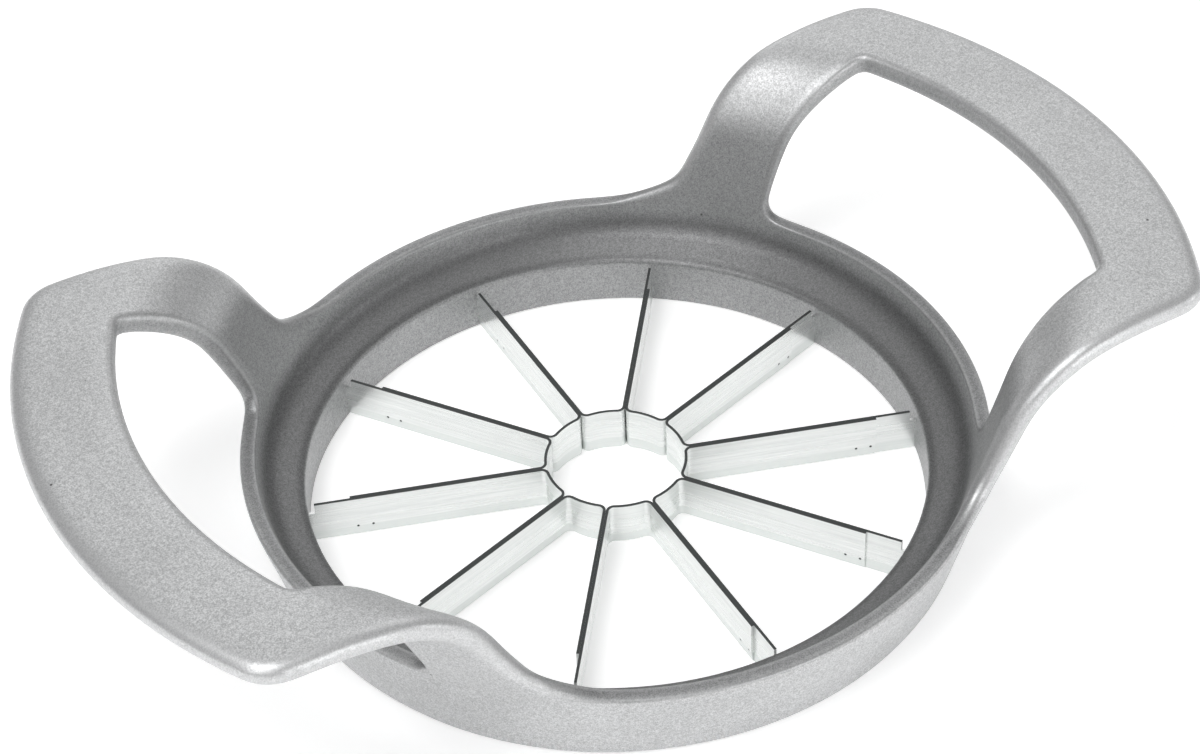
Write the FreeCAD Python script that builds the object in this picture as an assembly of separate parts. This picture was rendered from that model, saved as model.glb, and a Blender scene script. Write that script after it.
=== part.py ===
import FreeCAD, Part
import math
import os

# Apple divider with a round cast frame, two raised loop handles and ten bent blade strips.
# Z is up, the origin is the middle of the ring's flat underside, and X runs along the handles.
# All sizes are in millimetres and all angles in degrees.

# Ring
cutting_diameter = 90.0       # clear width of the ring at the blades
inner_wall_height = 7.6       # upright wall that holds the blade tabs
foot_width = 5.2              # underside of the ring, before its roundings
ring_height = 14.2            # low rim between the arms
wall_draft = 14.4             # lean of the outer wall away from upright
rim_width = 2.4               # top face of the rim
ledge_angle = 26.0            # rise of the sloping ledge above the blades
ledge_cove = 4.0              # hollow rounding between ledge and rim wall
crease_round = 1.0            # rounding at the top of the upright wall
rim_round = 0.45              # rounding of both rim edges
foot_round = 1.2              # rounding of the outer bottom edge
foot_inner_round = 0.4        # rounding of the inner bottom edge

# Handles
overall_length = 164.8        # over both grips
grip_thickness = 3.6
grip_width = 14.5             # along X in the middle of the grip
grip_top = 38.6               # top face of the grips above the underside
grip_arc_radius = 76.2        # bow of the grip's outer edge
hole_arc_radius = 68.4        # bow of the grip's edge at the finger hole
arm_outer_y = 42.6            # outer side of the arms
arm_inner_y = 29.9            # side of the arms at the finger hole
outer_waist = 0.5             # how much narrower the arm is half way up, on its outer side
hole_waist = 0.6              # the same at the finger hole
waist_end = 0.87              # share of the arm's height at which the waist ends
outer_corner_radius = 6.9     # corner of the grip seen from above
hole_corner_radius = 1.8      # corner of the finger hole
bend_radius = 15.7            # bend from arm to grip, at the middle of the thickness
arm_draft = 19.1              # lean of the arm wall below the bend
root_depth = 5.0              # how far the arm reaches down inside the ring wall
root_skin = 0.12              # ring metal left on each side of the arm's root
outer_flare = 9.6             # how far the outer side spreads along the rim
outer_flare_height = 4.6      # height over which it spreads
hole_flare = 3.4              # the same at the finger hole
hole_flare_height = 3.4

# Blade strips
blade_count = 10
first_blade_angle = 18.0      # a blade stands at this angle from X
strip_thickness = 0.4
strip_height = 7.0
strip_lift = 0.2              # cutting edge above the ring's underside
core_diameter = 20.0          # clear width of the core hole
strip_bend_radius = 0.8       # inside of the bend between leg and core arc
weld_gap = 0.02               # between two legs that lie back to back
short_leg_gap = 6.2           # from the short leg's end to the ring's inner wall
tab_reach = 2.5               # how far the long leg's tab enters the ring wall
notch_width = 1.0             # notch at the outer top corner of the long leg
notch_depth = 1.6
bevel_height = 1.8            # ground bevel above the cutting edge
edge_land = 0.1               # thickness left at the cutting edge
slot_clearance = 0.04         # between tab and slot, all round
weld_mark_insets = (0.7, 2.9)  # from the short leg's end
weld_mark_height = 1.7        # above the strip's cutting edge
weld_mark_diameter = 0.5
weld_mark_depth = 0.08

# Handle sections
section_steps = 6             # steps along each face and each rounded side
root_levels = (1.0, 0.6, 0.25, 0.0)                # rows in the ring wall, in shares of the root's depth
wall_levels = (0.1, 0.22, 0.36, 0.52, 0.75, 1.0)   # rows up the leaning wall, in shares of its height
bend_rows = 5
bend_end_slope = 24.0         # slope at which the rows turn from the arm to the grip
side_rows = 2                 # rows on to the corner of the grip
corner_rows = 4
half_grip_rows = 5            # rows from the corner to the middle of the grip
skin_degree = 3
edge_squareness = 3.0         # 2 makes the sides half circles, more makes them squarer

cut_spare = 1.0               # how far a cutting body reaches past what it cuts

# Values worked out from the sizes above
cutting_radius = cutting_diameter / 2.0
ring_foot_radius = cutting_radius + foot_width
half_grip = grip_thickness / 2.0
grip_middle_z = grip_top - half_grip
blade_step = 360.0 / blade_count
core_radius = core_diameter / 2.0
short_leg_end = cutting_radius - short_leg_gap


def vec(x, y, z=0.0):
    return FreeCAD.Vector(x, y, z)


def polar(radius, angle, z=0.0):
    a = math.radians(angle)
    return vec(radius * math.cos(a), radius * math.sin(a), z)


def rounded_edges(corners):
    """Edges of a closed outline. Each corner is a point and its rounding radius."""
    count = len(corners)
    starts = []
    ends = []
    arcs = []
    for i, (point, radius) in enumerate(corners):
        before = (corners[i - 1][0] - point).normalize()
        after = (corners[(i + 1) % count][0] - point).normalize()
        if radius == 0:
            starts.append(point)
            ends.append(point)
            arcs.append(None)
            continue
        half = before.getAngle(after) / 2.0
        reach = radius / math.tan(half)
        centre = point + (before + after).normalize() * (radius / math.sin(half))
        middle = centre + (point - centre).normalize() * radius
        starts.append(point + before * reach)
        ends.append(point + after * reach)
        arcs.append(Part.Arc(starts[-1], middle, ends[-1]).toShape())
    edges = []
    for i in range(count):
        if arcs[i] is not None:
            edges.append(arcs[i])
        edges.append(Part.LineSegment(ends[i], starts[(i + 1) % count]).toShape())
    return edges


def outer_wall_radius(z):
    return ring_foot_radius + z * math.tan(math.radians(wall_draft))


def ring_body():
    """The plain ring: its section turned about Z."""
    draft = math.tan(math.radians(wall_draft))
    rim_outer = outer_wall_radius(ring_height)
    rim_inner = rim_outer - rim_width
    # The ledge rises from the upright wall and meets the inner rim wall, which leans like the outer wall.
    rise = math.tan(math.radians(ledge_angle))
    drop = ring_height - inner_wall_height
    run = rim_inner - cutting_radius
    ledge_run = (run - draft * drop) / (1.0 - draft * rise)
    ledge_end = vec(cutting_radius + ledge_run, 0, inner_wall_height + rise * ledge_run)
    corners = [
        (vec(cutting_radius, 0, 0), foot_inner_round),
        (vec(ring_foot_radius, 0, 0), foot_round),
        (vec(rim_outer, 0, ring_height), rim_round),
        (vec(rim_inner, 0, ring_height), rim_round),
        (ledge_end, ledge_cove),
        (vec(cutting_radius, 0, inner_wall_height), crease_round),
    ]
    section = Part.Face(Part.Wire(rounded_edges(corners)))
    return section.revolve(vec(0, 0), vec(0, 0, 1), 360)


class ArmShape:
    """Middle surface of arm and grip: a leaning wall, a bend and a flat, turned about Z."""

    def __init__(self):
        self.slope = math.radians(90.0 - arm_draft)
        self.root_half = rim_width / 2.0 - root_skin
        self.rim_radius = outer_wall_radius(ring_height) - rim_width / 2.0
        self.bend_z = grip_middle_z - bend_radius
        self.wall_top = self.bend_z + bend_radius * math.cos(self.slope)
        self.bend_r = self.wall_radius(self.wall_top) + bend_radius * math.sin(self.slope)

    def wall_radius(self, z):
        lean = arm_draft if z > ring_height else wall_draft
        return self.rim_radius + (z - ring_height) * math.tan(math.radians(lean))

    def wall_half(self, z):
        """Half thickness of the wall, which grows from the rim to the bend."""
        share = (z - ring_height) / (self.wall_top - ring_height)
        share = min(max(share, 0.0), 1.0)
        return self.root_half + (half_grip - self.root_half) * share

    def at_radius(self, radius):
        """Height and slope of the bend and the flat at a distance from Z."""
        if radius >= self.bend_r:
            return grip_middle_z, 0.0
        slope = math.asin(min(1.0, (self.bend_r - radius) / bend_radius))
        return self.bend_z + bend_radius * math.cos(slope), slope


def side_angle(y, radius):
    return math.degrees(math.asin(y / radius))


def flare(z, top, amount):
    """Spread of an arm's side near the rim: none at the top, all of it at the rim."""
    share = (ring_height + top - z) / top
    if share <= 0:
        return 0.0
    return amount * share ** 2


def waist(z, amount):
    """Draw-in of an arm's side: none at the rim and at the grip, most of it between them."""
    rise = (z - ring_height) / (grip_middle_z - ring_height)
    rise = min(max(rise / waist_end, 0.0), 1.0)
    return amount * math.sin(math.pi * rise)


def arm_rows(shape):
    """Rows of the middle surface from root to grip, each across the arm.

    A row is the two ends as radius, angle, height, then slope and half thickness at each end.
    """
    rows = []
    wall_span = shape.wall_top - ring_height
    heights = [ring_height - level * root_depth for level in root_levels]
    heights += [ring_height + level * wall_span for level in wall_levels]
    for z in heights:
        radius = shape.wall_radius(z)
        half = shape.wall_half(z)
        level = max(z, ring_height)
        outer_y = arm_outer_y - waist(level, outer_waist) - half
        inner_y = arm_inner_y + waist(level, hole_waist) + half
        outer = side_angle(outer_y, radius) + flare(level, outer_flare_height, outer_flare)
        inner = side_angle(inner_y, radius) - flare(level, hole_flare_height, hole_flare)
        slope = shape.slope if z > ring_height else math.pi / 2.0
        rows.append(((radius, inner, z, slope, half), (radius, outer, z, slope, half)))
    for i in range(1, bend_rows + 1):
        slope = shape.slope + (math.radians(bend_end_slope) - shape.slope) * i / bend_rows
        radius = shape.bend_r - bend_radius * math.sin(slope)
        z = shape.bend_z + bend_radius * math.cos(slope)
        outer = side_angle(arm_outer_y - waist(z, outer_waist) - half_grip, radius)
        inner = side_angle(arm_inner_y + waist(z, hole_waist) + half_grip, radius)
        rows.append(((radius, inner, z, slope, half_grip), (radius, outer, z, slope, half_grip)))
    return rows


def plan_path(start, side_y, corner_radius, arc_x, arc_radius):
    """Points seen from above: along an arm's side, round a corner, then along a grip arc to Y = 0."""
    arc_middle = arc_x - arc_radius
    # The corner circle touches the side line and the grip arc from inside.
    corner_y = side_y - corner_radius
    corner_x = arc_middle + math.sqrt((arc_radius - corner_radius) ** 2 - corner_y ** 2)
    turn_end = math.degrees(math.atan2(corner_y, corner_x - arc_middle))
    points = []
    for i in range(1, side_rows + 1):
        points.append((start + (corner_x - start) * i / side_rows, side_y))
    for i in range(1, corner_rows + 1):
        angle = math.radians(90.0 + (turn_end - 90.0) * i / corner_rows)
        points.append((corner_x + corner_radius * math.cos(angle), corner_y + corner_radius * math.sin(angle)))
    for i in range(1, half_grip_rows + 1):
        angle = math.radians(turn_end * (1.0 - i / half_grip_rows))
        points.append((arc_middle + arc_radius * math.cos(angle), arc_radius * math.sin(angle)))
    return points


def grip_rows(shape, last_row):
    """Rows from the end of an arm round the corner to the middle of the grip."""
    inner_start = last_row[0][0] * math.cos(math.radians(last_row[0][1]))
    outer_start = last_row[1][0] * math.cos(math.radians(last_row[1][1]))
    outer_x = overall_length / 2.0
    inner_path = plan_path(inner_start, arm_inner_y + half_grip, hole_corner_radius + half_grip,
                           outer_x - grip_width + half_grip, hole_arc_radius)
    outer_path = plan_path(outer_start, arm_outer_y - half_grip, outer_corner_radius - half_grip,
                           outer_x - half_grip, grip_arc_radius - half_grip)
    rows = []
    for inner, outer in zip(inner_path, outer_path):
        ends = []
        for x, y in (inner, outer):
            radius = math.hypot(x, y)
            z, slope = shape.at_radius(radius)
            ends.append((radius, math.degrees(math.atan2(y, x)), z, slope, half_grip))
        rows.append(tuple(ends))
    return rows


def section_points(shape, row, on_wall):
    """Closed section round one row: top face, round outer side, underside, round inner side."""
    inner, outer = row
    top = []
    under = []
    for i in range(section_steps + 1):
        share = i / section_steps
        radius, angle, z, slope, half = [a + (b - a) * share for a, b in zip(inner, outer)]
        if not on_wall:
            z, slope = shape.at_radius(radius)
        radial = polar(1.0, angle)
        normal = vec(0, 0, 1) * math.cos(slope) - radial * math.sin(slope)
        place = radial * radius + vec(0, 0, z)
        top.append(place + normal * half)
        under.append(place - normal * half)
    points = []
    points += top[1:]
    points += round_end(top[-1], under[-1], top[-1] - top[-2])
    points += list(reversed(under))[1:]
    points += round_end(under[0], top[0], top[0] - top[1])
    return points


def round_end(first, last, outward):
    """Squarish half round from one face to the other, bulging outward, without its first point."""
    centre = (first + last) * 0.5
    arm = first - centre
    outward = (outward - arm * (outward.dot(arm) / arm.dot(arm))).normalize() * arm.Length
    power = 2.0 / edge_squareness
    points = []
    for i in range(1, section_steps + 1):
        angle = math.pi * i / section_steps
        across = math.copysign(abs(math.cos(angle)) ** power, math.cos(angle))
        points.append(centre + arm * across + outward * abs(math.sin(angle)) ** power)
    return points


def handle_body(shape):
    """One loop handle on the +X side: a smooth skin from one root over the grip to the other."""
    rows = arm_rows(shape)
    wall_rows = len(rows)
    rows += grip_rows(shape, rows[-1])
    sections = [section_points(shape, row, i < wall_rows) for i, row in enumerate(rows)]
    for points in reversed(sections[:-1]):
        sections.append([vec(p.x, -p.y, p.z) for p in points])
    # The sections steer the skin: it ends at both roots and closes round each section.
    order = skin_degree + 1
    along = len(sections) - skin_degree + 1
    around = len(sections[0]) + 1
    skin = Part.BSplineSurface()
    skin.buildFromPolesMultsKnots(sections, [order] + [1] * (along - 2) + [order], [1] * around,
                                  list(range(along)), list(range(around)), False, True,
                                  skin_degree, skin_degree)
    side = skin.toShape()
    ends = [Part.Face(Part.Wire([edge])) for edge in side.Edges if edge.isClosed()]
    shell = Part.Shell([side] + ends)
    shell.sewShape()
    handle = Part.Solid(shell)
    if handle.Volume < 0:
        handle.reverse()
    return handle


def wedge_wire(inset, core, corner, end, z):
    """Outline of the space between two neighbouring blades, drawn about the X axis.

    Inset is the distance from each blade plane, core the radius at the middle, corner the
    rounding between blade and core, and end the distance of the open side.
    """
    half_angle = math.radians(blade_step / 2.0)
    lean = math.asin((inset + corner) / (core + corner))
    turn = half_angle - lean

    def beside(along, away, side):
        x = along * math.cos(half_angle) + away * math.sin(half_angle)
        y = along * math.sin(half_angle) - away * math.cos(half_angle)
        return vec(x, side * y, z)

    def corner_arc(side):
        centre = polar(core + corner, side * math.degrees(turn), z)
        on_leg = beside((core + corner) * math.cos(lean), inset, side)
        on_core = polar(core, side * math.degrees(turn), z)
        middle = centre + ((on_leg - centre) + (on_core - centre)).normalize() * corner
        return on_leg, middle, on_core

    leg_a, bend_a, core_a = corner_arc(1)
    leg_b, bend_b, core_b = corner_arc(-1)
    end_a = beside(end, inset, 1)
    end_b = beside(end, inset, -1)
    edges = [
        Part.LineSegment(end_a, leg_a).toShape(),
        Part.Arc(leg_a, bend_a, core_a).toShape(),
        Part.Arc(core_a, vec(core, 0, z), core_b).toShape(),
        Part.Arc(core_b, bend_b, leg_b).toShape(),
        Part.LineSegment(leg_b, end_b).toShape(),
        Part.LineSegment(end_b, end_a).toShape(),
    ]
    return Part.Wire(edges)


def beside_leg(shape_at_plane, side):
    """Turn a solid made about the XZ plane onto the blade plane on one side of the wedge."""
    turned = shape_at_plane.copy()
    turned.rotate(vec(0, 0), vec(0, 0, 1), side * blade_step / 2.0)
    return turned


def strip_body():
    """One bent strip about the X axis: short leg, core arc, long leg with its tab."""
    low = strip_lift
    high = strip_lift + strip_height
    skin = weld_gap / 2.0
    long_end = cutting_radius + tab_reach
    past_end = long_end + cut_spare
    outside = Part.Face(wedge_wire(skin, core_radius, strip_bend_radius + strip_thickness, long_end, low))
    inside = Part.Face(wedge_wire(skin + strip_thickness, core_radius + strip_thickness,
                                  strip_bend_radius, past_end, low))
    strip = outside.extrude(vec(0, 0, strip_height)).cut(inside.extrude(vec(0, 0, strip_height)))
    # The bevel is ground on the face towards the wedge.
    grind = strip_thickness - edge_land
    bevel = Part.makeLoft([
        wedge_wire(skin + edge_land, core_radius + edge_land, strip_bend_radius + grind, past_end, low),
        wedge_wire(skin + strip_thickness, core_radius + strip_thickness, strip_bend_radius, past_end,
                   low + bevel_height),
    ], True, True)
    strip = strip.cut(bevel)
    # The short leg stands on the side of the higher angle.
    trim = Part.makeBox(long_end, 2.0 * core_radius, 2.0 * strip_height,
                        vec(short_leg_end, -core_radius, low - strip_height / 2.0))
    strip = strip.cut(beside_leg(trim, 1))
    # The long leg has a notch above its tab.
    notch = Part.makeBox(notch_width + tab_reach + cut_spare, 2.0 * core_radius, notch_depth + cut_spare,
                         vec(cutting_radius - notch_width, -core_radius, high - notch_depth))
    strip = strip.cut(beside_leg(notch, -1))
    mark_low = skin + strip_thickness - weld_mark_depth
    for side in (1, -1):
        for inset in weld_mark_insets:
            pin = Part.makeCylinder(weld_mark_diameter / 2.0, cut_spare,
                                    vec(short_leg_end - inset, -side * mark_low, low + weld_mark_height), vec(0, -side, 0))
            strip = strip.cut(beside_leg(pin, side))
    return strip


def slot_body():
    """Slot in the ring wall for one long leg's tab, about the X axis, open at the underside."""
    wide = strip_thickness + 2.0 * slot_clearance
    top = strip_lift + strip_height - notch_depth + slot_clearance
    slot = Part.makeBox(tab_reach + slot_clearance + cut_spare, wide, top + cut_spare,
                        vec(cutting_radius - cut_spare, weld_gap / 2.0 - slot_clearance, -cut_spare))
    return beside_leg(slot, -1)


def frame_body():
    """The casting: ring, both handles and the slots for the tabs."""
    shape = ArmShape()
    handle = handle_body(shape)
    other = handle.copy()
    other.rotate(vec(0, 0), vec(0, 0, 1), 180)
    frame = ring_body().fuse([handle, other])
    slot = slot_body()
    slots = []
    for i in range(blade_count):
        cut = slot.copy()
        cut.rotate(vec(0, 0), vec(0, 0, 1), wedge_angle(i))
        slots.append(cut)
    frame = frame.cut(slots)
    return frame


def wedge_angle(index):
    return first_blade_angle + blade_step * (index + 0.5)


def save(shape, name):
    shape.exportStep("parts/" + name + ".step")
    print(name, "valid", shape.isValid(), "solids", len(shape.Solids), "volume", round(shape.Volume, 1),
          "box", [round(v, 2) for v in (shape.BoundBox.XLength, shape.BoundBox.YLength, shape.BoundBox.ZLength)])


def main():
    os.makedirs("parts", exist_ok=True)
    save(frame_body().Solids[0], "frame_casting")
    strip = strip_body().Solids[0]
    for i in range(blade_count):
        piece = strip.copy()
        piece.rotate(vec(0, 0), vec(0, 0, 1), wedge_angle(i))
        save(piece, "blade_strip_%02d" % (i + 1))


main()
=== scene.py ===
import math
import bpy
import numpy as np
from mathutils import Matrix, Vector


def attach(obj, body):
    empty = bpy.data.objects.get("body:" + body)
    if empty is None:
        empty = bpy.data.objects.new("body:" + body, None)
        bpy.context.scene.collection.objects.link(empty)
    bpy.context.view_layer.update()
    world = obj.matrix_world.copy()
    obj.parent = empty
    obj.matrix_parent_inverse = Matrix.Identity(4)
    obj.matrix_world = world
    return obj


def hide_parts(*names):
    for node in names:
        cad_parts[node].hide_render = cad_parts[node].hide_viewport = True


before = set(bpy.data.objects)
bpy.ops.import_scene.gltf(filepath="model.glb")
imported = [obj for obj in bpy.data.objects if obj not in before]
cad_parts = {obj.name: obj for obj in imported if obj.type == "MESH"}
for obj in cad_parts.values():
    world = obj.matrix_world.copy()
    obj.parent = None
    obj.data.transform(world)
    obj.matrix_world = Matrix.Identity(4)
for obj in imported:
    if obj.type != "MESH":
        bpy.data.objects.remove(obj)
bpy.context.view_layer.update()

millimetre = 0.001
print("frame loaded:", len(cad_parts), "nodes")


def toRadians(degrees):
    # degrees times pi / 180
    return np.radians(degrees)


def putMesh(name, points, quads, body):
    # points in millimetres, quads counter-clockwise seen from outside
    mesh = bpy.data.meshes.new(name)
    mesh.from_pydata((points * millimetre).tolist(), [], quads.tolist())
    mesh.polygons.foreach_set("use_smooth", np.ones(len(quads), bool))
    mesh.update()
    piece = bpy.data.objects.new(name, mesh)
    bpy.context.scene.collection.objects.link(piece)
    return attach(piece, body)


# millimetres and degrees: the CAD source's values, apart from the reach, the holes' flare and the
# outer edges' rounding, which are set for the smoothed mesh
castSizes = {
    "cutRadius": 45.0,       # upright inner wall that holds the blades
    "wallHeight": 7.6,
    "footWidth": 5.2,        # underside of the ring
    "rimHeight": 14.2,
    "wallDraft": 14.4,
    "rimWidth": 2.4,
    "ledgeAngle": 26.0,
    "coveRadius": 4.0,
    "creaseRound": 1.0,
    "rimRound": 0.45,
    "footRound": 1.2,
    "footInnerRound": 0.4,
    "reach": 82.18,          # from the middle to the outer edge of a grip
    "gripWidth": 14.5,
    "gripTop": 38.6,
    "gripThickness": 3.6,
    "gripArc": 76.2,         # bow of the grip's outer edge
    "holeArc": 68.4,         # bow of the finger hole's outer edge
    "outerY": 42.6,
    "holeY": 29.9,
    "outerWaist": 0.5,       # how much narrower the arm is half way up
    "holeWaist": 0.6,
    "waistEnd": 0.87,        # share of the arm's height at which the waist ends
    "outerCorner": 6.9,
    "holeCorner": 1.8,
    "bendRadius": 15.7,
    "armDraft": 19.1,
    "outerFlare": 9.6,       # spread of the arm's root along the rim, in degrees
    "outerFlareHeight": 4.6,
    "outerFlareBow": 2,      # power of the spread: above 2 it ends more softly
    "holeFlare": 4.0,
    "holeFlareHeight": 4.6,
    "holeFlareBow": 2.6,
    "rootRows": (1.2, 2.1, 3.3, 4.8, 6.6),         # rows of the arm above its root
    "wallStart": 8.6,        # first of the wall's last three rows
    "wallRows": 3,
    "bendRows": 5,
    "lastSlope": 24.0,       # slope of the bend's last row
    "sideRows": 2,
    "cornerRows": 4,
    "bowRows": 5,            # rows from the corner to the middle of the grip
    "ringSteps": (3, 4, 3, 2, 3, 3),               # faces round each corner of the ring's section
    "wallSteps": (2, 2, 4, 3, 5),                  # faces along its straight runs
    "freeSteps": 10,         # faces along the ring between two arms
    "faceSteps": 8,          # faces across an arm
    "roundSteps": 8,         # faces round an edge
    "outerRound": 2.8,       # how far in the outer edge of a handle starts to turn down
    "outerSquareness": 2.3,  # 2 makes an edge a half circle, more makes it squarer
    "holeSquareness": 3.0,
    "levels": 2,             # of subdivision
}


def roundedCorners(corners, steps):
    # each corner is cut off by an arc that touches both sides:
    # its centre is on the bisector at radius / sin(half angle)
    arcs = []
    places, radii = np.split(np.array(corners, float), [2], axis=1)
    for i, radius in enumerate(radii[:, 0]):
        back = places[i - 1] - places[i]
        ahead = places[(i + 1) % len(places)] - places[i]
        back /= np.linalg.norm(back)
        ahead /= np.linalg.norm(ahead)
        half = np.arccos(back @ ahead) / 2
        bisector = (back + ahead) / np.linalg.norm(back + ahead)
        centre = places[i] + bisector * radius / np.sin(half)
        first = places[i] + back * radius / np.tan(half) - centre
        last = places[i] + ahead * radius / np.tan(half) - centre
        start = np.arctan2(first[1], first[0])
        turn = (np.arctan2(last[1], last[0]) - start + np.pi) % (2 * np.pi) - np.pi
        angle = start + turn * np.linspace(0, 1, steps[i] + 1)
        arcs.append(centre + radius * np.stack([np.cos(angle), np.sin(angle)], 1))
    return arcs


def between(first, last, parts):
    # the points that divide a straight run into equal parts, without its ends
    return first + (last - first) * (np.arange(1, parts) / parts)[:, None]


def ringSection(s):
    # section of the ring as distance from Z and height: from the rim's inner edge down the funnel,
    # the upright wall, the underside and up the outer wall, then the points over the rim
    draft = np.tan(toRadians(s["wallDraft"]))
    rise = np.tan(toRadians(s["ledgeAngle"]))
    foot = s["cutRadius"] + s["footWidth"]
    rimOuter = foot + s["rimHeight"] * draft
    rimInner = rimOuter - s["rimWidth"]
    ledge = (rimInner - s["cutRadius"] - draft * (s["rimHeight"] - s["wallHeight"])) / (1 - draft * rise)
    corners = [
        (rimInner, s["rimHeight"], s["rimRound"]),
        (s["cutRadius"] + ledge, s["wallHeight"] + rise * ledge, s["coveRadius"]),
        (s["cutRadius"], s["wallHeight"], s["creaseRound"]),
        (s["cutRadius"], 0.0, s["footInnerRound"]),
        (foot, 0.0, s["footRound"]),
        (rimOuter, s["rimHeight"], s["rimRound"]),
    ]
    arcs = roundedCorners(corners, s["ringSteps"])
    down = [arcs[0][-1:]]
    for before, after, parts in zip(arcs[:-1], arcs[1:], s["wallSteps"]):
        down += [between(before[-1], after[0], parts), after]
    down[-1] = down[-1][:1]
    down = np.concatenate(down)
    crest = (arcs[5][-1:] + arcs[0][:1]) / 2
    over = np.concatenate([arcs[5][1:], crest, arcs[0][:-1]])
    return down, over, (rimOuter + rimInner) / 2


def bendOf(s, rimMiddle):
    # the arm's middle surface leans out from the rim and turns through an arc into the flat of the grip
    middle = s["gripTop"] - s["gripThickness"] / 2
    wallSlope = toRadians(90 - s["armDraft"])
    bendHeight = middle - s["bendRadius"]
    wallTop = bendHeight + s["bendRadius"] * np.cos(wallSlope)
    wallEnd = rimMiddle + (wallTop - s["rimHeight"]) * np.tan(toRadians(s["armDraft"]))
    return {"slope": wallSlope, "height": bendHeight, "top": wallTop, "flat": middle,
            "radius": s["bendRadius"], "distance": wallEnd + s["bendRadius"] * np.sin(wallSlope)}


def sideAngles(s, bend, height, distance, half, outerHalf, root):
    # azimuth of both sides of an arm: straight sides with a slight waist, spread out near the rim
    rise = np.clip((height - root) / (bend["flat"] - root), 0, 1)
    waist = np.sin(np.pi * np.clip(rise / s["waistEnd"], 0, 1))
    outer = np.degrees(np.arcsin((s["outerY"] - s["outerWaist"] * waist - outerHalf) / distance))
    hole = np.degrees(np.arcsin((s["holeY"] + s["holeWaist"] * waist + half) / distance))
    outerShare = np.clip((height - root) / s["outerFlareHeight"], 0, 1)
    holeShare = np.clip((height - root) / s["holeFlareHeight"], 0, 1)
    outer += s["outerFlare"] * (1 - outerShare) ** s["outerFlareBow"]
    hole -= s["holeFlare"] * (1 - holeShare) ** s["holeFlareBow"]
    return hole, outer


def gripPath(s, start, sideY, corner, arcX, arcRadius):
    # seen from above: along the arm's side, round the corner, then along the grip's arc to Y = 0
    arcMiddle = arcX - arcRadius
    cornerY = sideY - corner
    cornerX = arcMiddle + np.sqrt((arcRadius - corner) ** 2 - cornerY ** 2)
    turnEnd = np.arctan2(cornerY, cornerX - arcMiddle)
    shares = [np.arange(1, rows + 1) / rows for rows in (s["sideRows"], s["cornerRows"], s["bowRows"])]
    along = start + (cornerX - start) * shares[0]
    turning = np.pi / 2 + (turnEnd - np.pi / 2) * shares[1]
    bowing = turnEnd * (1 - shares[2])
    x = np.concatenate([along, cornerX + corner * np.cos(turning), arcMiddle + arcRadius * np.cos(bowing)])
    y = np.concatenate([np.full(len(along), sideY), cornerY + corner * np.sin(turning),
                        arcRadius * np.sin(bowing)])
    return np.stack([x, y], 1)


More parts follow.
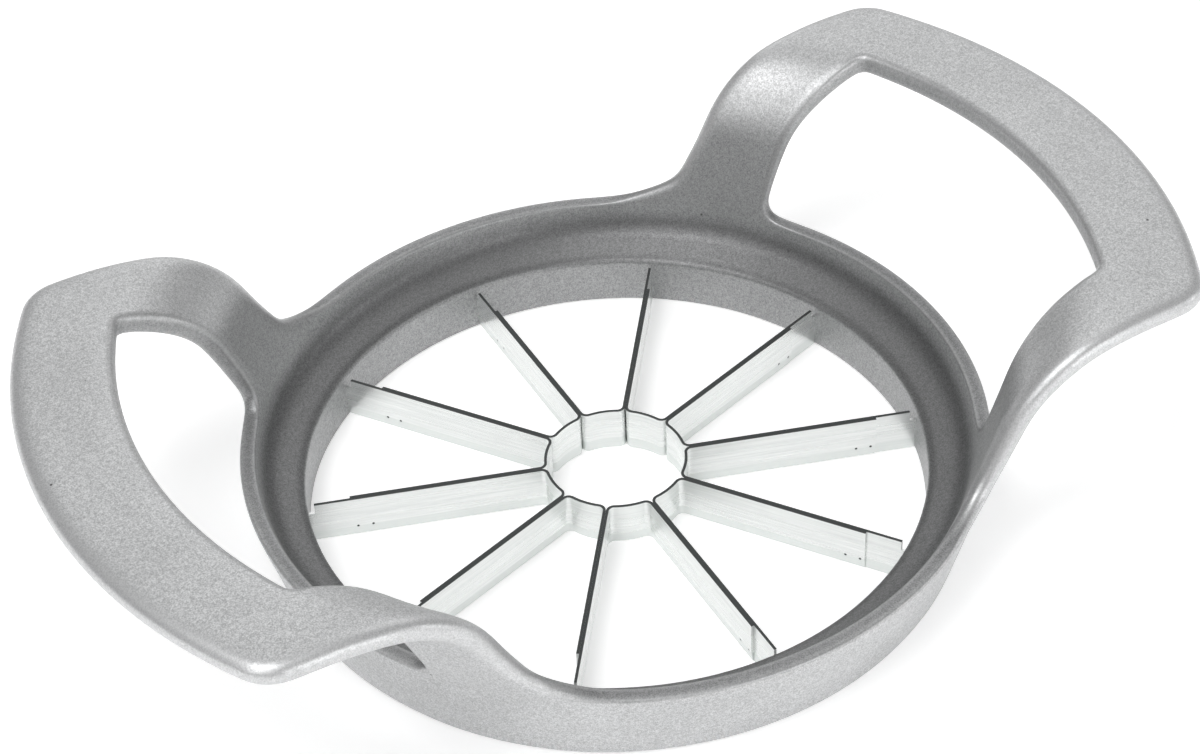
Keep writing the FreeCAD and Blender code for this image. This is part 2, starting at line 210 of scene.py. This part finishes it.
def handleSections(s, rimMiddle):
    # closed sections of a quarter of the frame, from the rim over the arm to the middle of the grip;
    # each point is the middle surface plus or minus half the thickness along its normal, with round sides
    bend = bendOf(s, rimMiddle)
    thick = s["gripThickness"] / 2
    thin = s["rimWidth"] / 2
    root = s["rimHeight"] - thin
    heights = np.concatenate([root + np.array(s["rootRows"]),
                              np.linspace(root + s["wallStart"], bend["top"], s["wallRows"])])
    lean = np.where(heights > s["rimHeight"], s["armDraft"], s["wallDraft"])
    distances = rimMiddle + (heights - s["rimHeight"]) * np.tan(toRadians(lean))
    halves = thin + (thick - thin) * np.clip((heights - s["rimHeight"]) / (bend["top"] - s["rimHeight"]), 0, 1)
    slopes = np.full(len(heights), bend["slope"])
    bendShare = np.arange(1, s["bendRows"] + 1) / s["bendRows"]
    turning = bend["slope"] + (toRadians(s["lastSlope"]) - bend["slope"]) * bendShare
    heights = np.concatenate([heights, bend["height"] + bend["radius"] * np.cos(turning)])
    distances = np.concatenate([distances, bend["distance"] - bend["radius"] * np.sin(turning)])
    halves = np.concatenate([halves, np.full(len(turning), thick)])
    slopes = np.concatenate([slopes, turning])
    thickening = (halves - thin) / (thick - thin)
    outerHalves = thin + (s["outerRound"] - thin) * thickening
    hole, outer = sideAngles(s, bend, heights, distances, halves, outerHalves, root)
    armRows = len(heights)

    def gripEnds(angle, sideY, corner, arcX, arcRadius):
        start = distances[-1] * np.cos(toRadians(angle[-1]))
        path = gripPath(s, start, sideY, corner, arcX, arcRadius)
        return np.hypot(path[:, 0], path[:, 1]), np.degrees(np.arctan2(path[:, 1], path[:, 0]))

    holeFar, holeAngle = gripEnds(hole, s["holeY"] + thick, s["holeCorner"] + thick,
                                  s["reach"] - s["gripWidth"] + thick, s["holeArc"])
    inset = s["outerRound"]
    outerFar, outerAngle = gripEnds(outer, s["outerY"] - inset, s["outerCorner"] - inset,
                                    s["reach"] - inset, s["gripArc"] - inset)
    share = np.linspace(0, 1, s["faceSteps"] + 1)[None, :]
    near = np.concatenate([distances, holeFar])[:, None]
    far = np.concatenate([distances, outerFar])[:, None]
    distance = near * (1 - share) + far * share
    angle = toRadians(np.concatenate([hole, holeAngle])[:, None] * (1 - share)
                      + np.concatenate([outer, outerAngle])[:, None] * share)
    gripSlope = np.arcsin(np.clip((bend["distance"] - distance) / bend["radius"], 0, 1))
    onArm = np.arange(len(distance))[:, None] < armRows
    filler = np.zeros(len(holeFar))
    slope = np.where(onArm, np.concatenate([slopes, filler])[:, None], gripSlope)
    height = np.where(onArm, np.concatenate([heights, filler])[:, None],
                      bend["height"] + bend["radius"] * np.cos(gripSlope))
    half = np.concatenate([halves, np.full(len(holeFar), thick)])[:, None, None]
    outerHalf = np.concatenate([outerHalves, np.full(len(holeFar), inset)])[:, None, None]
    outward = np.stack([np.cos(angle), np.sin(angle), np.zeros_like(angle)], -1)
    upward = np.array([0.0, 0.0, 1.0])
    middle = outward * distance[..., None] + upward * height[..., None]
    normal = upward * np.cos(slope)[..., None] - outward * np.sin(slope)[..., None]

    def edgeRound(side, sign, order, width, squareness):
        # squarish half oval about the row's end, square to the line that the ends make:
        # cosine and sine raised to 2 / squareness
        ends = middle[:, side]
        ahead = np.gradient(np.concatenate([ends, [ends[-2] * (1, -1, 1)]]), axis=0)[:-1]
        bulge = np.cross(normal[:, side], ahead) * sign
        bulge /= np.linalg.norm(bulge, axis=1)[:, None]
        angles = (np.pi * np.arange(1, s["roundSteps"]) / s["roundSteps"])[::order][None, :, None]
        up = np.sign(np.cos(angles)) * abs(np.cos(angles)) ** (2 / squareness)
        out = np.sin(angles) ** (2 / squareness)
        return ends[:, None] + half * normal[:, side][:, None] * up + width * bulge[:, None] * out

    upper = middle + normal * half
    under = (middle - normal * half)[:, ::-1]
    outerEdge = edgeRound(-1, 1, 1, outerHalf, s["outerSquareness"])
    holeEdge = edgeRound(0, -1, -1, half, s["holeSquareness"])
    return np.concatenate([upper, outerEdge, under, holeEdge], axis=1)


def castFrame(s):
    # the ring is its section turned about Z; over four stretches of the rim its quads are left out,
    # and the two handles grow out of these openings
    down, over, rimMiddle = ringSection(s)
    section = np.concatenate([down, over])
    rows, rimRow, steps = len(section), len(down) - 1, s["faceSteps"]
    thin = s["rimWidth"] / 2
    outerRoot = np.degrees(np.arcsin((s["outerY"] - thin) / rimMiddle)) + s["outerFlare"]
    holeRoot = np.degrees(np.arcsin((s["holeY"] + thin) / rimMiddle)) - s["holeFlare"]
    zone = np.linspace(holeRoot, outerRoot, steps + 1)
    free = s["freeSteps"]
    front = np.linspace(outerRoot, 180 - outerRoot, free + 1)[1:-1]
    under = np.linspace(-holeRoot, holeRoot, free + 1)[1:-1]
    azimuth = toRadians(np.concatenate([zone, front, 180 - zone[::-1], 180 + under,
                                        180 + zone, 180 + front, 360 - zone[::-1], under]))[:, None]
    columns = len(azimuth)
    ring = np.stack([section[:, 0] * np.cos(azimuth), section[:, 0] * np.sin(azimuth),
                     np.broadcast_to(section[:, 1], (columns, rows))], -1)
    index = np.arange(columns * rows).reshape(columns, rows)
    starts = np.arange(4) * (steps + free)        # first columns of the arms' roots
    rooted = np.zeros(columns, bool)
    rooted[(starts[:, None] + np.arange(steps)).ravel()] = True
    column, row = np.meshgrid(np.arange(columns), np.arange(rows), indexing="ij")
    kept = ~(rooted[column] & (row >= rimRow))
    column, row = column[kept], row[kept]
    nextColumn, nextRow = (column + 1) % columns, (row + 1) % rows
    quads = [np.stack([index[nextColumn, row], index[nextColumn, nextRow],
                       index[column, nextRow], index[column, row]], 1)]
    roundMark = np.ones(rows)                    # +1 on the inner face, -1 on the outer face, 0 on the crest
    lowest = int(np.argmin(down[:, 1]))
    roundMark[lowest:rimRow + 1] = -1
    across = np.arange(1, s["roundSteps"]) / s["roundSteps"] * 2 - 1
    roundMark[rimRow + 1:] = across
    marks = [np.tile(roundMark, columns)]
    shadeSides = [np.tile(np.arange(rows) > rimRow, columns)]      # painted shade: the rim's top and the holes' sides

    def rootLoop(first, forward):
        # the opening's edge, in the order of a handle's section
        rim = np.arange(first, first + steps + 1) % columns
        rim = rim if forward else rim[::-1]
        crossing = np.arange(rimRow + 1, rows)
        return np.concatenate([index[rim, 0], index[rim[-1], crossing[::-1]],
                               index[rim[::-1], rimRow], index[rim[0], crossing]])

    quarter = handleSections(s, rimMiddle)
    handle = np.concatenate([quarter, quarter[:-1][::-1] * (1, -1, 1)])
    handleMark = np.concatenate([np.ones(steps + 1), -across, -np.ones(steps + 1), across])
    handleShade = np.zeros((len(handle), len(handleMark)))
    handleShade[:, -len(across):] = 1
    # the rim's painted shade fades out over the arm's root rows
    fade = np.clip(1 - np.arange(1, len(quarter) + 1) / len(s["rootRows"]), 0, 1)
    handleShade[:, steps + 1:steps + 1 + len(across)] = np.concatenate([fade, fade[:-1][::-1]])[:, None]
    points = [ring.reshape(-1, 3)]
    count = columns * rows
    for side, first, last in ((1, rootLoop(starts[0], True), rootLoop(starts[3], False)),
                              (-1, rootLoop(starts[2], True), rootLoop(starts[1], False))):
        grid = count + np.arange(handle.shape[0] * handle.shape[1]).reshape(handle.shape[:2])
        count += grid.size
        points.append((handle * (side, side, 1)).reshape(-1, 3))
        marks.append(np.tile(handleMark, handle.shape[0]))
        shadeSides.append(handleShade.ravel())
        loops = np.concatenate([first[None], grid, last[None]])
        beside = np.roll(loops, -1, 1)
        quads.append(np.stack([loops[1:], beside[1:], beside[:-1], loops[:-1]], -1).reshape(-1, 4))
    surfaceMarks = {"edgeMark": np.concatenate(marks), "paintedShadeSide": np.concatenate(shadeSides)}
    return np.concatenate(points), np.concatenate(quads), surfaceMarks


framePoints, frameQuads, frameMarks = castFrame(castSizes)
castPiece = putMesh("castFrame", framePoints, frameQuads, "root")
for markName, values in frameMarks.items():
    mark = castPiece.data.attributes.new(markName, "FLOAT", "POINT")
    mark.data.foreach_set("value", values.astype(np.float32))
smoothing = castPiece.modifiers.new("smoothing", "SUBSURF")
smoothing.levels = castSizes["levels"]
smoothing.render_levels = castSizes["levels"]
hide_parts("frame_casting")
print("cast frame:", len(framePoints), "points,", len(frameQuads), "faces before smoothing")


def newGroup(name, inputs, outputs):
    # a shader node group with named inputs and outputs
    group = bpy.data.node_groups.new(name, "ShaderNodeTree")
    for socketName, kind, value in inputs:
        socket = group.interface.new_socket(socketName, in_out="INPUT", socket_type=kind)
        if value is not None:
            socket.default_value = value
    for socketName, kind in outputs:
        group.interface.new_socket(socketName, in_out="OUTPUT", socket_type=kind)
    return group, group.nodes.new("NodeGroupInput"), group.nodes.new("NodeGroupOutput")


def addNode(tree, kind, settings=(), links=()):
    # one node with its settings, and what feeds its inputs: a socket or a plain value
    node = tree.nodes.new(kind)
    for key, value in dict(settings).items():
        setattr(node, key, value)
    for key, value in dict(links).items():
        if isinstance(value, bpy.types.NodeSocket):
            tree.links.new(value, node.inputs[key])
        else:
            node.inputs[key].default_value = value
    return node


def maths(tree, operation, first, second=0.0, clamp=False):
    # the operation on first and second; clamp keeps its result between 0 and 1
    settings = {"operation": operation, "use_clamp": clamp}
    return addNode(tree, "ShaderNodeMath", settings, {0: first, 1: second}).outputs[0]


def noise(tree, where, scale, detail, roughness):
    # soft noise about 0.5, with cells 1 / scale wide
    return addNode(tree, "ShaderNodeTexNoise", {},
                   {"Vector": where, "Scale": scale, "Detail": detail, "Roughness": roughness}).outputs["Fac"]


def mapRange(tree, value, low, high, newLow, newHigh, kind="LINEAR"):
    # a straight line from newLow at low to newHigh at high, level beyond both
    return addNode(tree, "ShaderNodeMapRange", {"interpolation_type": kind},
                   {"Value": value, "From Min": low, "From Max": high,
                    "To Min": newLow, "To Max": newHigh}).outputs[0]


def smoothRange(tree, *ranges):
    # the same with a soft start and end
    return mapRange(tree, *ranges, kind="SMOOTHSTEP")


def fromAxis(tree, split):
    # distance from Z: the root of x squared plus y squared
    squares = [maths(tree, "MULTIPLY", split.outputs[i], split.outputs[i]) for i in (0, 1)]
    return maths(tree, "SQRT", maths(tree, "ADD", *squares))


def greyOf(tree, value):
    # one value as a grey
    return addNode(tree, "ShaderNodeCombineColor", {}, {0: value, 1: value, 2: value}).outputs[0]


def mixColours(tree, share, first, second, blend="MIX"):
    # first times 1 - share plus second times share; with MULTIPLY the second is first times second
    node = addNode(tree, "ShaderNodeMix", {"data_type": "RGBA", "blend_type": blend},
                   {0: share, 6: first, 7: second})
    return node.outputs[2]


grainLook = {
    "grainScale": 3000.0,    # where a material gives none of its own
    "cloudScale": 90.0,
    "fineDetail": 1.0,
    "fineShare": 0.66,       # of the grain, and the rest is a coarser noise
    "coarseScale": 0.37,     # times the grain's scale
    "coarseDetail": 2.0,
    "coarseShare": 0.34,
    "grainRoughness": 0.6,
    "cloudDetail": 3.0,
    "cloudRoughness": 0.55,
}


def makeGrainGroup(g):
    # metal grain: fine sparkle, slow clouds and a height for the bump
    group, inside, outside = newGroup(
        "metalGrain",
        [("Vector", "NodeSocketVector", None), ("Grain Scale", "NodeSocketFloat", g["grainScale"]),
         ("Cloud Scale", "NodeSocketFloat", g["cloudScale"])],
        [("Grain", "NodeSocketFloat"), ("Clouds", "NodeSocketFloat"), ("Height", "NodeSocketFloat")])
    where, scale, cloudScale = (inside.outputs[name] for name in ("Vector", "Grain Scale", "Cloud Scale"))
    fine = noise(group, where, scale, g["fineDetail"], g["grainRoughness"])
    coarser = maths(group, "MULTIPLY", scale, g["coarseScale"])
    coarse = noise(group, where, coarser, g["coarseDetail"], g["grainRoughness"])
    grain = maths(group, "ADD", maths(group, "MULTIPLY", fine, g["fineShare"]),
                  maths(group, "MULTIPLY", coarse, g["coarseShare"]))
    clouds = noise(group, where, cloudScale, g["cloudDetail"], g["cloudRoughness"])
    for name, value in (("Grain", grain), ("Clouds", clouds), ("Height", grain)):
        group.links.new(value, outside.inputs[name])
    return group


wearAndSheenLook = {
    "corner": 0.55,          # mark of an edge's corners, between 0 on its crest and 1 on its faces
    "width": 0.45,           # how far the wear reaches from there
    "patchScale": 260.0,
    "patchDetail": 3.0,
    "patchRoughness": 0.6,
    "patchLift": 0.35,       # added to the patches, so that less stays unworn
    "seamWidth": 0.25,       # of the parting line on the crest
}


def makeEdgeGroup(w):
    # edge wear and painted highlight: strongest on both corners of an edge, half way between its face and its
    # crest, broken up by noise; seam: 1 on the crest and 0 from its width on
    group, inside, outside = newGroup(
        "edgeWearAndSheen",
        [("Vector", "NodeSocketVector", None), ("Mark", "NodeSocketFloat", 1.0),
         ("Corner", "NodeSocketFloat", w["corner"]), ("Width", "NodeSocketFloat", w["width"])],
        [("WearAndSheen", "NodeSocketFloat"), ("Seam", "NodeSocketFloat")])
    away = maths(group, "ABSOLUTE", inside.outputs["Mark"])
    gap = maths(group, "ABSOLUTE", maths(group, "SUBTRACT", away, inside.outputs["Corner"]))
    corner = maths(group, "SUBTRACT", 1.0, maths(group, "DIVIDE", gap, inside.outputs["Width"]), True)
    patchy = noise(group, inside.outputs["Vector"], w["patchScale"], w["patchDetail"], w["patchRoughness"])
    wearAndSheen = maths(group, "MULTIPLY", corner, maths(group, "ADD", patchy, w["patchLift"]), True)
    seam = smoothRange(group, away, 0.0, w["seamWidth"], 1.0, 0.0)
    for name, value in (("WearAndSheen", wearAndSheen), ("Seam", seam)):
        group.links.new(value, outside.inputs[name])
    return group


grainGroup = makeGrainGroup(grainLook)
edgeGroup = makeEdgeGroup(wearAndSheenLook)
print("grain and edge wear groups made")


def placeGroup(tree, group, links):
    # one use of a group in a material, with its own values
    return addNode(tree, "ShaderNodeGroup", {"node_tree": group}, links)


def newMaterial(name):
    # an empty material, its nodes, its shader and the place on the piece
    material = bpy.data.materials.new(name)
    material.use_nodes = True
    tree = material.node_tree
    shader = tree.nodes["Principled BSDF"]
    place = tree.nodes.new("ShaderNodeTexCoord").outputs["Object"]
    return material, tree, shader, place


castFinish = {
    "light": (0.70, 0.705, 0.71, 1.0),
    "dark": (0.41, 0.415, 0.42, 1.0),
    # light colour of worn metal and of the painted highlights on edges
    "wearAndHighlight": (0.80, 0.805, 0.81, 1.0),
    "pit": (0.12, 0.12, 0.12, 1.0),
    "coveShade": 0.46,                # painted shade: how much of the colour is left under the rim
    "ledge": 0.64,               # painted shade on the sloping ledge
    "ledgeAt": 0.0475,           # distances from Z
    "coveAt": 0.0503,
    "rimAt": 0.0514,
    "creaseShade": 0.75,              # painted shadow line above the upright wall
    "creaseAt": 0.0456,
    "creaseWidth": 0.0009,
    "creaseHeight": 0.0070,
    "foot": 0.68,                # painted shade low on the arms' inner faces
    "footTop": 0.0255,
    "footEnd": 0.0315,
    "paintedShadeSide": 0.74,            # painted shade on the rim's top and the sides of the finger holes
    "outerHighlight": 0.34,              # share of painted highlight on the outer edges
    "wearAndSheen": 0.3,                 # and worn metal with painted highlight in patches along the corners of every edge
    "wornSmooth": 0.14,          # how much smoother worn metal is
    "metallic": 0.72,
    "roughness": 0.46,
    "roughSpread": 0.08,
    "grainScale": 5200.0,
    "cloudScale": 70.0,
    "cloudTones": (0.95, 1.04),
    "pitScale": 130.0,
    "pitSize": 0.035,
    "pitCore": 0.4,              # share of a pinhole that is fully dark
    "bump": 0.14,
    "bumpDistance": 0.00010,
    "seamHeight": 0.5,
    "sparkleSpan": (0.36, 0.64),     # from dark to light, in the grain's value
    "cloudSpan": (0.3, 0.7),
    "roughSpan": (0.3, 0.7),
    "insideSpan": (-0.6, 0.1),       # from outer to inner faces, in edgeMark
    "sideShadeSpan": (0.3, 0.9),          # from no painted shade to full, in the shaded-side mark
    "highlightSpan": (0.95, 0.55),      # from a face to its painted highlight on the edge, in the edge mark and the shaded-side mark together
}


def makeCastMaterial(f):
    # colour: dark to light by the grain, times the tone with its painted shade, then worn metal and painted
    # highlight by their share, then pinholes
    material, tree, shader, place = newMaterial("castAluminium")
    grain = placeGroup(tree, grainGroup,
                       {"Vector": place, "Grain Scale": f["grainScale"], "Cloud Scale": f["cloudScale"]})
    edge, sideShade = (addNode(tree, "ShaderNodeAttribute", {"attribute_name": name}).outputs["Fac"]
                  for name in ("edgeMark", "paintedShadeSide"))
    wearAndSheen = placeGroup(tree, edgeGroup, {"Vector": place, "Mark": edge})
    sparkle = mapRange(tree, grain.outputs["Grain"], *f["sparkleSpan"], 0.0, 1.0)
    colour = mixColours(tree, sparkle, f["dark"], f["light"])
    cloudy = mapRange(tree, grain.outputs["Clouds"], *f["cloudSpan"], *f["cloudTones"])
    # tone: clouds, times painted shade in the funnel, along its crease, on the rim and at the foot of the arms'
    # inner faces
    split = addNode(tree, "ShaderNodeSeparateXYZ", {}, {0: place})
    distance = fromAxis(tree, split)
    height = split.outputs[2]
    inside = smoothRange(tree, edge, *f["insideSpan"], 0.0, 1.0)
    # painted shade in the funnel: darkest under the rim, lighter on the ledge, none past the rim
    skin = smoothRange(tree, distance, f["ledgeAt"], f["coveAt"], f["ledge"], f["coveShade"])
    skin = smoothRange(tree, distance, f["coveAt"], f["rimAt"], skin, 1.0)
    # painted shadow line along the crease above the upright wall
    nearCrease = maths(tree, "ABSOLUTE", maths(tree, "SUBTRACT", distance, f["creaseAt"]))
    creaseShade = smoothRange(tree, nearCrease, 0.0, f["creaseWidth"], f["creaseShade"], 1.0)
    skin = maths(tree, "MULTIPLY", skin, creaseShade)
    skin = smoothRange(tree, height, f["creaseHeight"], f["creaseHeight"] + f["creaseWidth"], 1.0, skin)
    # painted shade low on the arms' inner faces, lighter towards the grips
    foot = smoothRange(tree, height, f["footTop"], f["footEnd"], f["foot"], 1.0)
    tone = mapRange(tree, inside, 0.0, 1.0, 1.0, maths(tree, "MULTIPLY", skin, foot))
    # painted shade on the rim's top and the finger holes' sides
    tone = maths(tree, "MULTIPLY", tone, smoothRange(tree, sideShade, *f["sideShadeSpan"], 1.0, f["paintedShadeSide"]))
    colour = mixColours(tree, 1.0, colour, greyOf(tree, maths(tree, "MULTIPLY", cloudy, tone)), "MULTIPLY")
    # painted highlight along the outer edges, kept off the faces, the rim and the holes' sides
    flatness = maths(tree, "ADD", maths(tree, "ABSOLUTE", edge), sideShade)
    outerEdge = smoothRange(tree, flatness, *f["highlightSpan"], 0.0, f["outerHighlight"])
    # worn metal and painted highlight: the outer edges' highlight or the corners' patches, whichever is more
    wearAndHighlight = maths(tree, "MAXIMUM", outerEdge, maths(tree, "MULTIPLY", wearAndSheen.outputs["WearAndSheen"], f["wearAndSheen"]))
    colour = mixColours(tree, wearAndHighlight, colour, f["wearAndHighlight"])
    # a few pinholes left by the casting, each the middle of a random cell
    cell = addNode(tree, "ShaderNodeTexVoronoi", {}, {"Vector": place, "Scale": f["pitScale"]})
    pit = smoothRange(tree, cell.outputs["Distance"], f["pitSize"], f["pitSize"] * f["pitCore"], 0.0, 1.0)
    colour = mixColours(tree, pit, colour, f["pit"])
    tree.links.new(colour, shader.inputs["Base Color"])
    rough = mapRange(tree, grain.outputs["Grain"], *f["roughSpan"],
                     f["roughness"] + f["roughSpread"], f["roughness"] - f["roughSpread"])
    rough = maths(tree, "SUBTRACT", rough, maths(tree, "MULTIPLY", wearAndHighlight, f["wornSmooth"]))
    tree.links.new(rough, shader.inputs["Roughness"])
    shader.inputs["Metallic"].default_value = f["metallic"]
    # relief: the grain plus the parting line, less the pinholes
    partingLine = maths(tree, "MULTIPLY", wearAndSheen.outputs["Seam"], f["seamHeight"])
    relief = maths(tree, "ADD", grain.outputs["Height"], partingLine)
    relief = maths(tree, "SUBTRACT", relief, pit)
    bump = addNode(tree, "ShaderNodeBump", {},
                   {"Height": relief, "Strength": f["bump"], "Distance": f["bumpDistance"]})
    tree.links.new(bump.outputs["Normal"], shader.inputs["Normal"])
    return material


castPiece.data.materials.append(makeCastMaterial(castFinish))
print("cast aluminium made")


bladeFinish = {
    "light": (0.86, 0.875, 0.865, 1.0),
    "dark": (0.72, 0.74, 0.73, 1.0),
    "ground": (0.70, 0.73, 0.715, 1.0),    # ground bevel along the cutting edge
    "groundShare": 0.7,
    "groundRough": 0.12,                   # added to the roughness there
    "bevelTop": 0.0020,
    "bevelFade": 0.0001,
    "skin": (0.05, 0.055, 0.055, 1.0),     # dark colour on the strip's narrow top face, and in the weld marks
    "skinShare": 0.95,
    "skinRough": 0.6,
    "top": 0.0072,
    "skinFade": (0.00009, 0.00005),        # below the top, where the dark colour starts and where it is full
    "markRadii": (0.0381, 0.0359),         # weld marks: distance from Z, height and size
    "markHeight": 0.0019,
    "markSize": 0.00022,
    "markCore": 0.7,                       # share of a mark that is fully dark
    "metallic": 0.9,
    "roughness": 0.26,
    "roughSpread": (0.05, 0.09),           # below and above it, by the clouds
    "stretch": (0.12, 0.12, 6.0),
    "lineScale": 900.0,
    "cloudScale": 60.0,
    "lineSpan": (0.3, 0.7),                # from dark to light, in the grain's value
    "cloudSpan": (0.3, 0.7),
    "bump": 0.06,
    "bumpDistance": 0.00003,
}


def makeBladeMaterial(f):
    # colour: dark to light by the rolled lines, then the ground bevel, then the dark top face and weld marks
    material, tree, shader, place = newMaterial("bladeSteel")
    # rolled strip: fine lines that run level along the strip, so the pattern is squeezed in height only
    stretch = addNode(tree, "ShaderNodeMapping", {}, {"Vector": place, "Scale": f["stretch"]}).outputs[0]
    grain = placeGroup(tree, grainGroup,
                       {"Vector": stretch, "Grain Scale": f["lineScale"], "Cloud Scale": f["cloudScale"]})
    tone = mapRange(tree, grain.outputs["Grain"], *f["lineSpan"], 0.0, 1.0)
    colour = mixColours(tree, tone, f["dark"], f["light"])
    split = addNode(tree, "ShaderNodeSeparateXYZ", {}, {0: place})
    height = split.outputs[2]
    bevel = mapRange(tree, height, f["bevelTop"] + f["bevelFade"], f["bevelTop"] - f["bevelFade"],
                     0.0, f["groundShare"])
    colour = mixColours(tree, bevel, colour, f["ground"])
    # weld marks: dark spots where both the distance from Z and the height are near the mark's middle
    distance = fromAxis(tree, split)
    rise = maths(tree, "SUBTRACT", height, f["markHeight"])
    spots = 0.0
    for radius in f["markRadii"]:
        out = maths(tree, "SUBTRACT", distance, radius)
        squares = maths(tree, "ADD", maths(tree, "MULTIPLY", out, out), maths(tree, "MULTIPLY", rise, rise))
        gap = maths(tree, "SQRT", squares)
        spot = smoothRange(tree, gap, f["markSize"] * f["markCore"], f["markSize"], 1.0, 0.0)
        spots = maths(tree, "ADD", spot, spots)
    skinStart, skinFull = (f["top"] - fade for fade in f["skinFade"])
    topFace = mapRange(tree, height, skinStart, skinFull, 0.0, f["skinShare"])
    colour = mixColours(tree, maths(tree, "MAXIMUM", topFace, spots), colour, f["skin"])
    tree.links.new(colour, shader.inputs["Base Color"])
    smoother, rougher = f["roughSpread"]
    rough = mapRange(tree, grain.outputs["Clouds"], *f["cloudSpan"],
                     f["roughness"] - smoother, f["roughness"] + rougher)
    rough = maths(tree, "ADD", rough, maths(tree, "MULTIPLY", bevel, f["groundRough"]))
    rough = maths(tree, "MAXIMUM", rough, maths(tree, "MULTIPLY", topFace, f["skinRough"]))
    tree.links.new(rough, shader.inputs["Roughness"])
    shader.inputs["Metallic"].default_value = f["metallic"]
    bump = addNode(tree, "ShaderNodeBump", {},
                   {"Height": grain.outputs["Height"], "Strength": f["bump"], "Distance": f["bumpDistance"]})
    tree.links.new(bump.outputs["Normal"], shader.inputs["Normal"])
    return material


bladeMaterial = makeBladeMaterial(bladeFinish)
for nodeName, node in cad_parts.items():
    if nodeName.startswith("blade_strip"):
        for materialSlot in node.material_slots:
            materialSlot.material = bladeMaterial
print("blade steel made")


studio = {
    "floorSize": 6.0,
    "floorColour": (0.96, 0.96, 0.96, 1.0),
    "floorRoughness": 0.8,
    "floorLift": 0.38,           # what the floor shows by itself to the camera and to metal
    "farLift": 0.75,             # the same far out, where the lamps don't reach
    "liftRadii": (0.4, 1.6),     # metres from the middle between which it grows
    "worldColour": (1.0, 1.0, 1.0, 1.0),
    "worldStrength": 0.30,
    "aim": (0, 0, 0.015),        # where all lamps point
    "lamps": [     # name, place, size, watts
        ("keyLamp", (-0.35, -0.10, 1.00), 0.50, 3.6),
        ("frontLamp", (0.20, -1.00, 0.35), 0.60, 2.4),
        ("leftLamp", (-0.85, -0.48, 0.82), 0.80, 3.2),
        ("rightLamp", (0.95, -0.60, 0.40), 0.50, 1.6),
        ("backLamp", (0.55, 0.95, 0.95), 1.30, 4.6),
    ],
}


def makeStage(s):
    # a square floor that shines a little by itself, more with its distance from Z, a world light and the lamps
    half = s["floorSize"] / 2
    mesh = bpy.data.meshes.new("floor")
    square = [(-half, -half, 0), (half, -half, 0), (half, half, 0), (-half, half, 0)]
    mesh.from_pydata(square, [], [(0, 1, 2, 3)])
    floor = bpy.data.objects.new("floor", mesh)
    bpy.context.scene.collection.objects.link(floor)
    material, tree, shader, place = newMaterial("paleFloor")
    shader.inputs["Base Color"].default_value = s["floorColour"]
    path = tree.nodes.new("ShaderNodeLightPath")
    seen = maths(tree, "MAXIMUM", path.outputs["Is Camera Ray"], path.outputs["Is Glossy Ray"])
    seen = maths(tree, "MAXIMUM", seen, path.outputs["Is Transmission Ray"])
    distance = fromAxis(tree, addNode(tree, "ShaderNodeSeparateXYZ", {}, {0: place}))
    lift = smoothRange(tree, distance, *s["liftRadii"], s["floorLift"], s["farLift"])
    tree.links.new(greyOf(tree, maths(tree, "MULTIPLY", seen, lift)), shader.inputs["Emission Color"])
    shader.inputs["Emission Strength"].default_value = 1.0
    shader.inputs["Roughness"].default_value = s["floorRoughness"]
    shader.inputs["Specular IOR Level"].default_value = 0.0
    mesh.materials.append(material)
    world = bpy.data.worlds.new("studio")
    bpy.context.scene.world = world
    world.use_nodes = True
    tree = world.node_tree
    background = tree.nodes["Background"]
    background.inputs["Color"].default_value = s["worldColour"]
    background.inputs["Strength"].default_value = s["worldStrength"]
    for name, place, size, watts in s["lamps"]:
        lamp = bpy.data.lights.new(name, "AREA")
        lamp.size = size
        lamp.energy = watts
        holder = bpy.data.objects.new(name, lamp)
        holder.location = place
        holder.rotation_euler = (Vector(s["aim"]) - Vector(place)).to_track_quat("-Z", "Y").to_euler()
        bpy.context.scene.collection.objects.link(holder)


makeStage(studio)

view = {                     # degrees, metres and pixels, worked out from the photograph's outlines
    "azimuth": -26.613,
    "elevation": 40.947,
    "roll": -2.842,
    "distance": 0.385535,
    "focalPixels": 2630.9,
    "imageWidth": 1200.0,
    "right": -0.002524,
    "up": 0.016619,
    "lift": 0.0006,
    "sensor": 36.0,          # millimetres
    "clipStart": 0.01,
}


def makeCamera(v):
    # back points from the object to the camera, right and up are turned about it by the roll;
    # the camera stands at back times the distance, plus small shifts along right, up and Z
    azimuth, elevation, roll = (math.radians(v[key]) for key in ("azimuth", "elevation", "roll"))
    back = Vector((math.sin(azimuth) * math.cos(elevation), -math.cos(azimuth) * math.cos(elevation),
                   math.sin(elevation)))
    level = (-back).cross(Vector((0, 0, 1))).normalized()
    upright = level.cross(-back)
    right = level * math.cos(roll) + upright * math.sin(roll)
    up = upright * math.cos(roll) - level * math.sin(roll)
    place = back * v["distance"] + right * v["right"] + up * v["up"] + Vector((0, 0, v["lift"]))
    lens = bpy.data.cameras.new("camera")
    lens.sensor_width = v["sensor"]
    lens.lens = v["focalPixels"] / v["imageWidth"] * v["sensor"]
    lens.clip_start = v["clipStart"]
    camera = bpy.data.objects.new("camera", lens)
    camera.matrix_world = Matrix.Translation(place) @ Matrix((right, up, back)).transposed().to_4x4()
    bpy.context.scene.collection.objects.link(camera)
    bpy.context.scene.camera = camera


makeCamera(view)
bpy.context.scene.view_settings.view_transform = "Standard"
print("stage, lamps and camera made")
